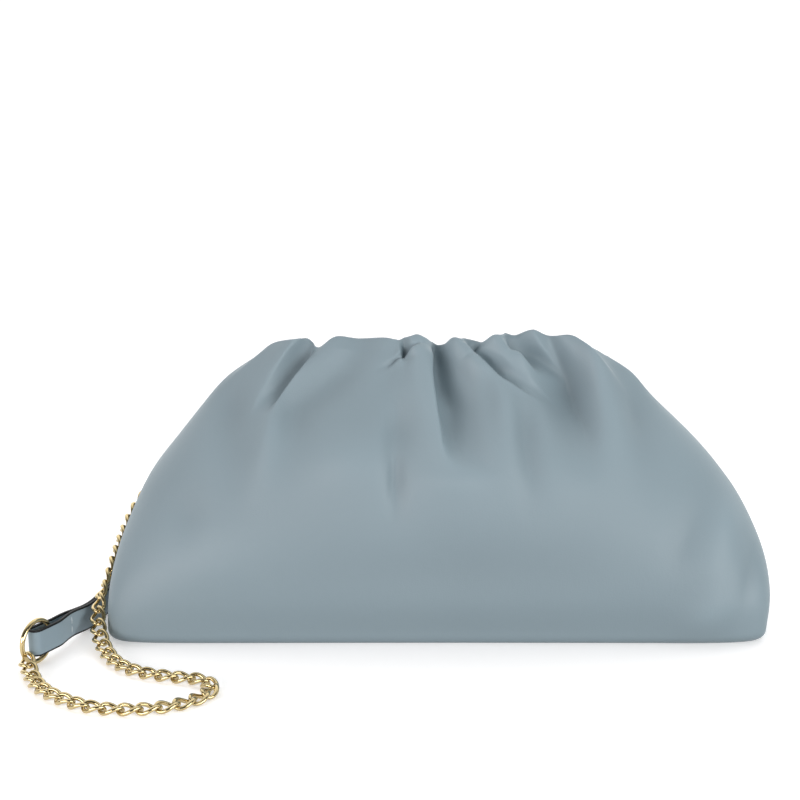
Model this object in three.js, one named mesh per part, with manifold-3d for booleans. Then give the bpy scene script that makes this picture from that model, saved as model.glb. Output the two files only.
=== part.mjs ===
// A gathered leather pouch bag on a flat base, with a shoulder strap of curb chain and leather.
// Millimetres. +Z is up, -Y is the front and +X is to the right as the front is seen.
// The origin is on the floor, under the middle of the base.

import * as THREE from "three";
import { mergeVertices } from "three/addons/utils/BufferGeometryUtils.js";
import Module from "manifold-3d";

const wasm = await Module();
wasm.setup();

// Leather walls
const WALL = 2;
const GAP = 0.3; // between pieces that touch
const MERGE_DISTANCE = 1e-4;
const FRONT = -1;
const BACK = 1;
const BASE_ROLL = 6; // radius of the turn from base to wall
const ROLL_ROWS = 3;
const RIM_LEVELNESS = 5; // how long the rim stays level before it drops to its ends
const RIM_HEIGHT = 155.5;
const RIM_RISE = 0.4; // how far a fold lifts the rim, as a part of its height
const RIM_RISE_LEVELS = 2;
const SEAM_CALM = 10; // how close to a side seam the folds run
const OUTLINE_STEPS = 240;
const SURFACE_STEP = 0.05; // levels between the rows that give a wall's slope
const FRONT_GRID = { columns: 50, rows: 13 };
const BACK_GRID = { columns: 32, rows: 10 };

// Level cross-sections of the bag, from the top of the base roll to the rim. The heights are at the
// side seams and at the middle of the front and back, squareness is the power of the rounded outline,
// and lean is how far the section has sagged sideways.
const SECTIONS = [
  { seam: 6, front: 6, back: 6, halfLength: 176, halfDepth: 59, squareness: 14, lean: 0 },
  { seam: 26, front: 26, back: 26, halfLength: 177, halfDepth: 61.5, squareness: 8, lean: 1.4 },
  { seam: 45, front: 45, back: 45, halfLength: 174.2, halfDepth: 61.5, squareness: 4.8, lean: 2.1 },
  { seam: 64, front: 65, back: 64, halfLength: 166.7, halfDepth: 58.5, squareness: 3.4, lean: 1.8 },
  { seam: 82, front: 84, back: 83, halfLength: 156, halfDepth: 53, squareness: 2.8, lean: 0.3 },
  { seam: 100, front: 104, back: 102, halfLength: 141, halfDepth: 45, squareness: 2.5, lean: -0.8 },
  { seam: 118, front: 123, back: 120, halfLength: 124.5, halfDepth: 34, squareness: 2.2, lean: -2.2 },
  { seam: 133, front: 140, back: 135, halfLength: 109.5, halfDepth: 22, squareness: 2, lean: -3.4 },
  { seam: 144, front: RIM_HEIGHT, back: 148, halfLength: 95, halfDepth: 12, squareness: 1.9, lean: -3.2 },
];
const RIM_LEVEL = SECTIONS.length - 1;

// Folds that run from the rim down the wall and fade out at their foot. Height is how far a fold
// stands out, or in where it is negative, and the widths are to its left and right at the rim.
const FRONT_FOLDS = [
  { rimX: -74, footX: -97, footHeight: 108, left: 10, right: 6, height: 4 },
  { rimX: -65, footX: -92, footHeight: 108, left: 5, right: 4, height: -6 },
  { rimX: -54, footX: -76, footHeight: 110, left: 6, right: 12, height: 3 },
  { rimX: -27, footX: -44, footHeight: 118, left: 10, right: 7, height: 3 },
  { rimX: -17, footX: -40, footHeight: 124, left: 5, right: 4, height: -5 },
  { rimX: -10, footX: 1, footHeight: 92, left: 9, right: 5, height: 4.5 },
  { rimX: 0, footX: 12, footHeight: 88, left: 5, right: 8, height: -7.5 },
  { rimX: 11, footX: 50, footHeight: 116, left: 6, right: 5, height: 4.5 },
  { rimX: 22, footX: 52, footHeight: 118, left: 5, right: 5, height: -4.5 },
  { rimX: 33, footX: 58, footHeight: 126, left: 6, right: 5, height: 4 },
  { rimX: 44, footX: 62, footHeight: 130, left: 5, right: 4, height: -5 },
  { rimX: 54, footX: 62, footHeight: 138, left: 6, right: 9, height: 3.5 },
  { rimX: 64, footX: 84, footHeight: 96, left: 8, right: 9, height: -4 },
  { rimX: 78, footX: 92, footHeight: 104, left: 9, right: 5, height: 4 },
];
const BACK_FOLDS = [
  { rimX: -66, footX: -86, footHeight: 112, left: 9, right: 6, height: -4 },
  { rimX: -50, footX: -62, footHeight: 116, left: 8, right: 9, height: 3.5 },
  { rimX: -36, footX: -44, footHeight: 104, left: 6, right: 8, height: -5 },
  { rimX: -22, footX: -26, footHeight: 112, left: 8, right: 7, height: 4 },
  { rimX: -7, footX: -6, footHeight: 96, left: 7, right: 7, height: -5.5 },
  { rimX: 8, footX: 14, footHeight: 108, left: 7, right: 8, height: 4 },
  { rimX: 24, footX: 34, footHeight: 104, left: 8, right: 6, height: -5 },
  { rimX: 40, footX: 52, footHeight: 114, left: 9, right: 8, height: 3.5 },
  { rimX: 58, footX: 78, footHeight: 108, left: 7, right: 9, height: -4.5 },
];

// Curb chain. A link's length and width are between the middles of its wire.
const LINK_WIRE = 1.85;
const LINK_LENGTH = 11.4;
const LINK_WIDTH = 7;
const LINK_TWIST = THREE.MathUtils.degToRad(-48);
const LINK_PITCH = 8.8;
const LINK = { wire: LINK_WIRE, steps: 10, sides: 4 };
const HIDDEN_LINK = { wire: 1.6, steps: 8, sides: 3 };
const HOOK_GAP = 1.1; // between a chain's end link and its ring
const JOIN_RADIUS = 1.7; // the dot that joins two links of one run
const RUN_LINKS = 7;
const HIDDEN_LINKS = 14; // links of the left chain behind the bag
const CHAIN_CLEARANCE = 2.7; // from the leather to the middle of a lying link
const CHAIN_LIE = 2.6; // height of the middle of a link that lies on the floor
const ROUTE_DIVISIONS = 40; // for each point of a route, when its length is measured

// Rings between chain and leather strap, and the rings that hold the chain at the mouth
const STRAP_RING = { radius: 10.7, wire: 2.6, aroundSteps: 20, sides: 6 };
const MOUTH_RING = { radius: 6, wire: 2, aroundSteps: 16, sides: 5, along: 0.72, level: 6.9 };
const LEFT_RING = { centre: [-204.5, -81.5], away: [-0.47, -0.88], hook: 52 };
const RIGHT_RING = { centre: [96, 92], away: [1, 0], hook: 65 };

// Leather strap, which stands on its edge
const STRAP_WIDTH = 14;
const STRAP_THICKNESS = 3;
const STRAP_LAYER = 1.5;
const STRAP_SLOT = 4.8; // room for the ring between the turned-back layers
const STRAP_SLOT_STEPS = 16;
const STRAP_LOOP_CLOSING = [10, 40]; // where the layers come together, from the end of the strap
const STRAP_REACH = 4.2; // how far the turned-back end passes the middle of its ring
const STRAP_STRAIGHT = 15.6; // how far the strap runs straight on the other side of that middle
const STRAP_STEPS = 64;
const STRAP_LIFT_REACH = [18, 60];
const STRAP_ROUTE = [
  { x: -193.5, y: -54 },
  { x: -190.2, y: -40 },
  { x: -187.3, y: -26 },
  { x: -184.5, y: -12 },
  { x: -182.5, y: 4 },
  { x: -182, y: 22 },
  { x: -181, y: 44 },
  { x: -171, y: 66 },
  { x: -140, y: 81 },
  { x: -95, y: 88 },
  { x: -45, y: 91 },
  { x: 10, y: 92.5 },
  { x: 55, y: 92 },
];

// Routes of the chains: first over the leather, then free, then along the floor.
const LEFT_OVER_LEATHER = [
  { side: BACK, along: -0.755, level: 6.2 },
  { side: BACK, along: -0.78, level: 5.4 },
  { side: BACK, along: -0.805, level: 4.5 },
  { side: BACK, along: -0.825, level: 3.6 },
  { side: BACK, along: -0.84, level: 2.9 },
  { side: BACK, along: -0.885, level: 2.3 },
  { side: BACK, along: -0.95, level: 1.88 },
  { side: FRONT, along: -0.98, level: 1.55 },
  { side: FRONT, along: -0.91, level: 1.15 },
];
const LEFT_HANGING = [
  { x: -180.6, y: -36, z: 20, facing: [-0.7, -0.65, 0.3] },
  { x: -180.4, y: -46.6, z: 12.8, facing: [-0.3, -0.85, 0.45] },
  { x: -177.5, y: -59, z: 7.5, facing: [-0.1, -0.65, 0.8] },
  { x: -172.5, y: -71.5, z: 4.2, facing: [0, -0.2, 1] },
];
const LEFT_ON_FLOOR = [
  { x: -165, y: -85 },
  { x: -153, y: -97.5 },
  { x: -135, y: -105 },
  { x: -118, y: -109 },
  { x: -110.5, y: -119 },
  { x: -115, y: -131 },
  { x: -127, y: -140.5 },
  { x: -145, y: -145 },
  { x: -163, y: -143 },
  { x: -180, y: -133.5 },
  { x: -193.5, y: -120.5 },
  { x: -202, y: -105 },
];
const RIGHT_OVER_LEATHER = [
  { side: BACK, along: 0.76, level: 6.2 },
  { side: BACK, along: 0.77, level: 5.4 },
  { side: BACK, along: 0.77, level: 4.4 },
  { side: BACK, along: 0.76, level: 3.3 },
  { side: BACK, along: 0.73, level: 2.2 },
  { side: BACK, along: 0.7, level: 1.1 },
];
const RIGHT_HANGING = [
  { x: 137, y: 66, z: 12.5, facing: [0.3, 0.85, 0.45] },
  { x: 142, y: 71, z: 7, facing: [0.2, 0.65, 0.75] },
  { x: 149, y: 77, z: 3.6, facing: [0.05, 0.25, 1] },
];
const RIGHT_ON_FLOOR = [
  { x: 159, y: 85 },
  { x: 170, y: 96 },
  { x: 173, y: 111 },
  { x: 164, y: 128 },
  { x: 146, y: 138 },
  { x: 120, y: 142 },
  { x: 92, y: 143 },
  { x: 66, y: 141 },
  { x: 50, y: 127 },
  { x: 62, y: 111 },
  { x: 80, y: 109 },
  { x: 97, y: 105 },
];

// Finishes
const leather = new THREE.MeshStandardMaterial({ color: 0x8ea1aa, roughness: 0.55, metalness: 0 });
const strapLeather = new THREE.MeshStandardMaterial({ color: 0x61727a, roughness: 0.5, metalness: 0 });
const goldMetal = new THREE.MeshStandardMaterial({ color: 0xd9b25f, roughness: 0.22, metalness: 1 });

const bag = new THREE.Group();

function addPiece(name, geometry, material) {
  const piece = new THREE.Mesh(geometry, material);
  piece.name = name;
  bag.add(piece);
}

// One cross-section at a level of the table, eased between its rows.
function sectionAt(level) {
  const section = {};
  const levels = SECTIONS.map((_, index) => index);
  for (const size of Object.keys(SECTIONS[0])) {
    const values = SECTIONS.map((row) => row[size]);
    section[size] = new THREE.CubicInterpolant(levels, values, 1).evaluate(level)[0];
  }
  return section;
}

// One cross-section in the roll between base and wall, by its angle.
function rollSection(angle) {
  const foot = SECTIONS[0];
  const inset = BASE_ROLL * (1 - Math.sin(angle));
  const height = BASE_ROLL * (1 - Math.cos(angle));
  return {
    ...foot,
    seam: height,
    front: height,
    back: height,
    halfLength: foot.halfLength - inset,
    halfDepth: foot.halfDepth - inset,
  };
}

// Half of a rounded outline from the left seam to the right one, in steps of equal length.
function halfOutline({ halfLength, halfDepth, squareness }, steps) {
  const trace = [];
  for (let i = 0; i <= OUTLINE_STEPS; i++) {
    const angle = Math.PI * (1 - i / OUTLINE_STEPS);
    const cosine = Math.cos(angle);
    const x = Math.sign(cosine) * halfLength * Math.abs(cosine) ** (2 / squareness);
    const depth = halfDepth * Math.abs(Math.sin(angle)) ** (2 / squareness);
    trace.push(new THREE.Vector2(x, depth));
  }
  const reached = [0];
  for (let i = 1; i <= OUTLINE_STEPS; i++) {
    reached.push(reached[i - 1] + trace[i].distanceTo(trace[i - 1]));
  }
  const points = [];
  let at = 1;
  for (let i = 0; i <= steps; i++) {
    const target = (reached[OUTLINE_STEPS] * i) / steps;
    while (at < OUTLINE_STEPS && reached[at] < target) at++;
    const share = (target - reached[at - 1]) / (reached[at] - reached[at - 1]);
    points.push(new THREE.Vector2().lerpVectors(trace[at - 1], trace[at], share));
  }
  return points;
}

// A row of points on the plain form of one wall, without its folds.
function wallRow(section, side, columns) {
  return halfOutline(section, columns).map(({ x, y: depth }) => {
    const drop = Math.abs(x / section.halfLength) ** RIM_LEVELNESS;
    const middle = side === FRONT ? section.front : section.back;
    const height = THREE.MathUtils.lerp(middle, section.seam, drop);
    return new THREE.Vector3(x + section.lean, side * Math.max(depth, GAP / 2), height);
  });
}

function outwardNormals(rows, side) {
  const last = rows.length - 1;
  const end = rows[0].length - 1;
  return rows.map((row, j) =>
    row.map((_, i) => {
      const across = row[Math.min(i + 1, end)].clone().sub(row[Math.max(i - 1, 0)]);
      const up = rows[Math.min(j + 1, last)][i].clone().sub(rows[Math.max(j - 1, 0)][i]);
      const normal = across.cross(up).multiplyScalar(-side);
      if (i === 0 || i === end) normal.y = 0;
      if (j === 0) normal.set(0, 0, -1);
      return normal.normalize();
    }),
  );
}

function foldOffset(folds, x, height) {
  let offset = 0;
  for (const fold of folds) {
    const reach = (RIM_HEIGHT - height) / (RIM_HEIGHT - fold.footHeight);
    const down = THREE.MathUtils.clamp(reach, 0, 1);
    const away = x - THREE.MathUtils.lerp(fold.rimX, fold.footX, down);
    const width = away < 0 ? fold.left : fold.right;
    const fade = Math.cos((down * Math.PI) / 2) ** 2;
    offset += fold.height * fade * Math.exp(-((away / (width * (1 + down))) ** 2));
  }
  return offset;
}

// A closed wall between an outer and an inner grid of points.
function wallBetween(outer, inner, side) {
  const columns = outer[0].length;
  const layer = outer.length * columns;
  const positions = [...outer.flat(), ...inner.flat()].flatMap((point) => point.toArray());
  const index = [];
  const quad = (a, b, c, d) => index.push(...(side === FRONT ? [a, b, c, a, c, d] : [c, b, a, d, c, a]));
  const edge = (from, to) => quad(from, to, layer + to, layer + from);
  const lastRow = (outer.length - 1) * columns;
  const lastColumn = columns - 1;
  for (let j = 0; j < outer.length - 1; j++) {
    const row = j * columns;
    const above = row + columns;
    for (let i = 0; i < lastColumn; i++) {
      quad(row + i, row + i + 1, above + i + 1, above + i);
      quad(layer + row + i, layer + above + i, layer + above + i + 1, layer + row + i + 1);
    }
    edge(row, above);
    edge(above + lastColumn, row + lastColumn);
  }
  for (let i = 0; i < lastColumn; i++) {
    edge(i + 1, i);
    edge(lastRow + i, lastRow + i + 1);
  }
  const geometry = new THREE.BufferGeometry();
  geometry.setAttribute("position", new THREE.Float32BufferAttribute(positions, 3));
  geometry.setIndex(index);
  return geometry;
}

// A gathered wall: the plain form, its folds pushed out and in, and the leather's thickness inwards.
function gatheredWall(side, folds, { columns, rows }) {
  const levels = Array.from({ length: rows + 1 }, (_, j) => (RIM_LEVEL * j) / rows);
  const rollAngles = Array.from({ length: ROLL_ROWS }, (_, j) => (Math.PI / 2) * (j / ROLL_ROWS));
  const sections = [...rollAngles.map(rollSection), ...levels.map(sectionAt)];
  const plain = sections.map((section) => wallRow(section, side, columns));
  const normals = outwardNormals(plain, side);
  const outer = plain.map((row, j) => {
    const level = j < ROLL_ROWS ? 0 : levels[j - ROLL_ROWS];
    const rise = RIM_RISE * THREE.MathUtils.smoothstep(level, RIM_LEVEL - RIM_RISE_LEVELS, RIM_LEVEL);
    return row.map((point, i) => {
      const calm = 1 - Math.abs((2 * i) / columns - 1) ** SEAM_CALM;
      const offset = calm * foldOffset(folds, point.x, point.z);
      const pushed = point.clone().addScaledVector(normals[j][i], offset);
      pushed.z += rise * offset;
      return pushed;
    });
  });
  const inner = outer.map((row, j) =>
    row.map((point, i) => point.clone().addScaledVector(normals[j][i], -WALL)),
  );
  return wallBetween(outer, inner, side);
}

// A point on a row, by its share of the way along it.
function pointOnRow(row, share) {
  const place = share * (row.length - 1);
  const left = Math.min(Math.floor(place), row.length - 2);
  return row[left].clone().lerp(row[left + 1], place - left);
}

// The flat base, inside the lower edge of the walls.
function basePlate() {
  const edge = rollSection(0);
  edge.halfLength -= GAP;
  edge.halfDepth -= GAP;
  const front = wallRow(edge, FRONT, FRONT_GRID.columns);
  const backRow = wallRow(edge, BACK, BACK_GRID.columns);
  const back = front.map((_, i) => pointOnRow(backRow, i / FRONT_GRID.columns));
  const lower = [front, back];
  const upper = lower.map((row) => row.map((point) => point.clone().setZ(WALL)));
  return wallBetween(lower, upper, BACK);
}

// A point on the plain form of a wall, with the direction out of the leather.
function onLeather({ side, along, level }) {
  const levels = [level - SURFACE_STEP, level, level + SURFACE_STEP];
  const rows = levels.map((at) => wallRow(sectionAt(at), side, FRONT_GRID.columns));
  const share = (along + 1) / 2;
  const normals = outwardNormals(rows, side)[1];
  return { point: pointOnRow(rows[1], share), normal: pointOnRow(normals, share).normalize() };
}

function solidFrom(geometry) {
  const bare = geometry.clone();
  bare.deleteAttribute("normal");
  bare.deleteAttribute("uv");
  const merged = mergeVertices(bare, MERGE_DISTANCE);
  const mesh = new wasm.Mesh({
    numProp: 3,
    vertProperties: new Float32Array(merged.attributes.position.array),
    triVerts: new Uint32Array(merged.index.array),
  });
  return new wasm.Manifold(mesh);
}

function geometryFrom(solid) {
  const { vertProperties, triVerts } = solid.getMesh();
  const geometry = new THREE.BufferGeometry();
  geometry.setAttribute("position", new THREE.BufferAttribute(vertProperties, 3));
  geometry.setIndex(new THREE.BufferAttribute(triVerts, 1));
  return geometry;
}

// The middle line of a curb link: an oval twisted about its length.
class LinkLine extends THREE.Curve {
  getPoint(t, target = new THREE.Vector3()) {
    const angle = 2 * Math.PI * t;
    const across = (LINK_WIDTH / 2) * Math.sin(angle);
    const twist = LINK_TWIST * Math.cos(angle);
    return target.set(
      (LINK_LENGTH / 2) * Math.cos(angle),
      across * Math.cos(twist),
      across * Math.sin(twist),
    );
  }
}

function linkGeometry({ wire, steps, sides }, frame) {
  const ring = new THREE.TubeGeometry(new LinkLine(), steps, wire / 2, sides, true);
  return ring.applyMatrix4(frame);
}

// The ring through the back wall, in a plane square to the leather and level along it.
function mouthRing(sign) {
  const { along, level, radius } = MOUTH_RING;
  const { point, normal } = onLeather({ side: BACK, along: sign * along, level });
  const sideways = new THREE.Vector3(0, 0, 1).cross(normal).normalize();
  const axis = normal.clone().cross(sideways);
  const frame = new THREE.Matrix4().makeBasis(normal, sideways, axis).setPosition(point);
  const hook = point.clone().addScaledVector(normal, radius);
  return { frame, hook, facing: sideways.multiplyScalar(-sign) };
}

function torus({ radius, wire, aroundSteps, sides }, clearance, frame) {
  const geometry = new THREE.TorusGeometry(radius, wire / 2 + clearance, sides, aroundSteps);
  return geometry.applyMatrix4(frame);
}

// The upright ring at one end of the leather strap, and where the chain hooks into it.
function strapRing({ centre, away, hook }) {
  const out = new THREE.Vector3(...away, 0).normalize();
  const up = new THREE.Vector3(0, 0, 1);
  const middle = new THREE.Vector3(...centre, STRAP_RING.radius + STRAP_RING.wire / 2);
  const frame = new THREE.Matrix4().makeBasis(out, up, out.clone().cross(up)).setPosition(middle);
  const angle = THREE.MathUtils.degToRad(hook);
  const held = middle.clone();
  held.addScaledVector(out, STRAP_RING.radius * Math.sin(angle));
  held.addScaledVector(up, -STRAP_RING.radius * Math.cos(angle));
  const facing = out.clone().multiplyScalar(Math.cos(angle)).addScaledVector(up, Math.sin(angle));
  return { frame, out, middle, hook: held, facing };
}

// A point at a distance along a route, which goes on straight past either end.
function pointAlong(route, distance) {
  const length = route.getLength();
  const inside = THREE.MathUtils.clamp(distance, 0, length);
  const point = route.getPointAt(inside / length);
  return point.addScaledVector(route.getTangentAt(inside / length), distance - inside);
}

// The places of a chain's links along its route, from a mouth ring to a strap ring.
function linkPlaces(mouth, overLeather, hanging, onFloor, ring) {
  const stops = [{ point: mouth.hook, facing: mouth.facing }];
  for (const row of overLeather) {
    const { point, normal } = onLeather(row);
    stops.push({ point: point.addScaledVector(normal, CHAIN_CLEARANCE), facing: normal });
  }
  for (const { x, y, z, facing } of hanging) {
    stops.push({ point: new THREE.Vector3(x, y, z), facing: new THREE.Vector3(...facing) });
  }
  for (const { x, y } of onFloor) {
    stops.push({ point: new THREE.Vector3(x, y, CHAIN_LIE), facing: new THREE.Vector3(0, 0, 1) });
  }
  stops.push({ point: ring.hook, facing: ring.facing });
  const route = new THREE.CatmullRomCurve3(stops.map((stop) => stop.point));
  route.arcLengthDivisions = ROUTE_DIVISIONS * stops.length;
  const facings = new THREE.CatmullRomCurve3(stops.map((stop) => stop.facing));
  const length = route.getLength();
  const firstJoint = (wire) => (LINK_LENGTH - LINK_PITCH) / 2 - (LINK_WIRE + wire) / 2 - HOOK_GAP;
  const start = firstJoint(MOUTH_RING.wire);
  const run = length - start - firstJoint(STRAP_RING.wire);
  const count = Math.round(run / LINK_PITCH);
  const places = [];
  for (let k = 0; k < count; k++) {
    const from = start + (run * k) / count;
    const to = start + (run * (k + 1)) / count;
    const joint = pointAlong(route, from);
    const next = pointAlong(route, to);
    const along = next.clone().sub(joint).normalize();
    const face = facings.getPoint(route.getUtoTmapping((from + to) / 2 / length));
    face.addScaledVector(along, -face.dot(along)).normalize();
    const frame = new THREE.Matrix4().makeBasis(along, face.clone().cross(along), face);
    frame.setPosition(joint.clone().lerp(next, 0.5));
    places.push({ frame, joint });
  }
  return places;
}

// Links joined along the chain into one solid by a dot between each two.
function joinedRun(places) {
  let solid = null;
  places.forEach(({ frame, joint }, k) => {
    const link = solidFrom(linkGeometry(HIDDEN_LINK, frame));
    solid = solid ? solid.add(link) : link;
    if (k > 0) {
      const dot = new THREE.TetrahedronGeometry(JOIN_RADIUS).translate(...joint.toArray());
      solid = solid.add(solidFrom(dot));
    }
  });
  return geometryFrom(solid);
}

function addRuns(name, places) {
  for (let first = 0; first < places.length; first += RUN_LINKS) {
    const number = String(first / RUN_LINKS + 1).padStart(2, "0");
    addPiece(`${name}_${number}`, joinedRun(places.slice(first, first + RUN_LINKS)), goldMetal);
  }
}

// Half the width across a turned-back end at a distance from the strap's end. The end is round, with
// that radius from where it starts, and closes to a last half width where the layers meet.
function loopHalf(distance, start, radius, last) {
  const past = distance - start;
  const rounded = past < radius ? Math.sqrt(radius ** 2 - (radius - past) ** 2) : radius;
  return THREE.MathUtils.lerp(rounded, last, THREE.MathUtils.smoothstep(distance, ...STRAP_LOOP_CLOSING));
}

// The slot in a turned-back end, as an outline round the ring's wire.
function strapSlot(route, length, fromEnd) {
  const near = [];
  const far = [];
  for (let k = 0; k <= STRAP_SLOT_STEPS; k++) {
    const share = (k / STRAP_SLOT_STEPS) ** 2;
    const distance = THREE.MathUtils.lerp(STRAP_LAYER, STRAP_LOOP_CLOSING[1], share);
    const half = Math.max(loopHalf(distance, STRAP_LAYER, STRAP_SLOT / 2, 0), GAP / 2);
    const at = fromEnd ? 1 - distance / length : distance / length;
    const point = route.getPointAt(at);
    const tangent = route.getTangentAt(at);
    near.push(new THREE.Vector2(point.x - tangent.y * half, point.y + tangent.x * half));
    far.unshift(new THREE.Vector2(point.x + tangent.y * half, point.y - tangent.x * half));
  }
  return new THREE.Path([...near, ...far]);
}

// The leather strap on its edge: its plan drawn along the route, with a slot round each ring,
// raised at both ends to the height of the rings.
function strapGeometry(leftRing, rightRing) {
  const flat = ({ x, y }) => new THREE.Vector2(x, y);
  const straightEnd = ({ middle, out }) =>
    [STRAP_REACH, -STRAP_STRAIGHT / 2, -STRAP_STRAIGHT].map((reach) =>
      flat(middle.clone().addScaledVector(out, reach)),
    );
  const stops = [...straightEnd(leftRing), ...STRAP_ROUTE.map(flat), ...straightEnd(rightRing).reverse()];
  const route = new THREE.SplineCurve(stops);
  route.arcLengthDivisions = ROUTE_DIVISIONS * stops.length;
  const length = route.getLength();
  const left = [];
  const right = [];
  for (let k = 0; k <= STRAP_STEPS; k++) {
    const share = (1 - Math.cos((Math.PI * k) / STRAP_STEPS)) / 2;
    const point = route.getPointAt(share);
    const tangent = route.getTangentAt(share);
    const distance = length * Math.min(share, 1 - share);
    const half = Math.max(loopHalf(distance, 0, STRAP_SLOT / 2 + STRAP_LAYER, STRAP_THICKNESS / 2), GAP);
    right.push(new THREE.Vector2(point.x + tangent.y * half, point.y - tangent.x * half));
    left.unshift(new THREE.Vector2(point.x - tangent.y * half, point.y + tangent.x * half));
  }
  const shape = new THREE.Shape([...right, ...left]);
  shape.holes.push(strapSlot(route, length, false), strapSlot(route, length, true));
  const geometry = new THREE.ExtrudeGeometry(shape, { depth: STRAP_WIDTH, bevelEnabled: false });
  const lift = leftRing.middle.z - STRAP_WIDTH / 2;
  const position = geometry.attributes.position;
  for (let k = 0; k < position.count; k++) {
    const spot = new THREE.Vector2(position.getX(k), position.getY(k));
    const reaches = [leftRing, rightRing].map((ring) => spot.distanceTo(flat(ring.middle)));
    const reach = Math.min(...reaches);
    const raised = 1 - THREE.MathUtils.smoothstep(reach, ...STRAP_LIFT_REACH);
    position.setZ(k, position.getZ(k) + lift * raised);
  }
  return geometry;
}

const mouthLeft = mouthRing(-1);
const mouthRight = mouthRing(1);
const ringLeft = strapRing(LEFT_RING);
const ringRight = strapRing(RIGHT_RING);

let backWall = solidFrom(gatheredWall(BACK, BACK_FOLDS, BACK_GRID));
for (const { frame } of [mouthLeft, mouthRight]) {
  backWall = backWall.subtract(solidFrom(torus(MOUTH_RING, GAP, frame)));
}
addPiece("front_panel", gatheredWall(FRONT, FRONT_FOLDS, FRONT_GRID), leather);
addPiece("back_panel", geometryFrom(backWall), leather);
addPiece("base_panel", basePlate(), leather);
addPiece("mouth_ring_left", torus(MOUTH_RING, 0, mouthLeft.frame), goldMetal);
addPiece("mouth_ring_right", torus(MOUTH_RING, 0, mouthRight.frame), goldMetal);
addPiece("strap", strapGeometry(ringLeft, ringRight), strapLeather);
addPiece("strap_ring_left", torus(STRAP_RING, 0, ringLeft.frame), goldMetal);
addPiece("strap_ring_right", torus(STRAP_RING, 0, ringRight.frame), goldMetal);

const leftChain = linkPlaces(mouthLeft, LEFT_OVER_LEATHER, LEFT_HANGING, LEFT_ON_FLOOR, ringLeft);
addRuns("chain_left_run", leftChain.slice(0, HIDDEN_LINKS));
leftChain.slice(HIDDEN_LINKS).forEach(({ frame }, k) => {
  addPiece(`link_${String(k + 1).padStart(2, "0")}`, linkGeometry(LINK, frame), goldMetal);
});
const rightChain = linkPlaces(mouthRight, RIGHT_OVER_LEATHER, RIGHT_HANGING, RIGHT_ON_FLOOR, ringRight);
addRuns("chain_right_run", rightChain);

export default bag;
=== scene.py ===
"""A gathered leather pouch bag with a strap of curb chain and leather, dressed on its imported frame.

Tables and functions work in millimetres in the frame's axes: +Z is up, -Y is the front and +X is to
the right as the front is seen. Properties, lights and materials are in metres, as Blender's are.
"""

import math
from collections import namedtuple

import bmesh
import bpy
import numpy as np
from bpy.props import FloatProperty, FloatVectorProperty, PointerProperty
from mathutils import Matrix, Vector


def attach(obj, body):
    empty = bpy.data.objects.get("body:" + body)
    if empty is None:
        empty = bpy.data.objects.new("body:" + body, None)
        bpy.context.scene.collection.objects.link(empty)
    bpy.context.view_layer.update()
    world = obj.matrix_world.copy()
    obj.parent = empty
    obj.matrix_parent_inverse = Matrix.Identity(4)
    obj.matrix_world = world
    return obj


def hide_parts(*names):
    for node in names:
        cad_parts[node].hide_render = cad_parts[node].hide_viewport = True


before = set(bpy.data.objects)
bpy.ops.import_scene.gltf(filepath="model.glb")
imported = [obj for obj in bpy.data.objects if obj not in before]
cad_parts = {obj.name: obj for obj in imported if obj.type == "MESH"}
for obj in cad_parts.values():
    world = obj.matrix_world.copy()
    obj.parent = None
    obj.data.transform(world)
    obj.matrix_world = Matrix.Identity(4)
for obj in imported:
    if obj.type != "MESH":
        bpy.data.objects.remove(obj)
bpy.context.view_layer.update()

bl_info = {
    "name": "Gathered Pouch Bag",
    "version": (1, 0, 0),
    "blender": (4, 5, 0),
    "location": "View3D > Sidebar > Pouch Bag",
    "description": "Builds a gathered leather pouch bag with a strap of curb chain and leather",
    "category": "Add Mesh",
}

MM = 0.001
WELD = 1e-7
BODY = "root"
FRONT = -1
BACK = 1
LEFT = -1
RIGHT = 1
UP = (0.0, 0.0, 1.0)

# Form of the leather, from the top of the base roll to the rim. Seam, front and back are a section's
# heights at its side seams and in the middle of each wall, squareness is the power of its rounded
# outline, and lean is its shift to the right. The rolls are radii, and levelness and calm are powers:
# the higher they are, the closer to the seams the rim drops and the folds die out.
Section = namedtuple("Section", "seam front back half_length half_depth squareness lean")
RIM_HEIGHT = 155.5
SECTIONS = (
    Section(6, 6, 6, 176, 59, 14, 0),
    Section(26, 26, 26, 177, 61.5, 8, 1.4),
    Section(45, 45, 45, 174.2, 61.5, 4.8, 2.1),
    Section(64, 65, 64, 166.7, 58.5, 3.4, 1.8),
    Section(82, 84, 83, 156, 53, 2.8, 0.3),
    Section(100, 104, 102, 141, 45, 2.5, -0.8),
    Section(118, 123, 120, 124.5, 34, 2.2, -2.2),
    Section(133, 140, 135, 109.5, 22, 2, -3.4),
    Section(144, RIM_HEIGHT, 148, 95, 12, 1.9, -3.2),
)
RIM_LEVEL = len(SECTIONS) - 1
BASE_ROLL = 6
RIM_LEVELNESS = 5
SEAM_GAP = 0.15
SEAM_CALM = 10
SEAM_ROLL = 2.2
HEM_DEPTH = 16
OUTLINE_STEPS = 1500

# Grid of each leather wall
Grid = namedtuple("Grid", "columns rows")
FRONT_GRID = Grid(470, 122)
BACK_GRID = Grid(280, 90)
ROLL_ROWS = 6
RIM_ROLL_ROWS = 7
INNER_ROWS = 30
TURNED_IN_ROWS = 2
ROW_CROWDING = 1.6
SEAM_CROWDING = 0.3

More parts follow.
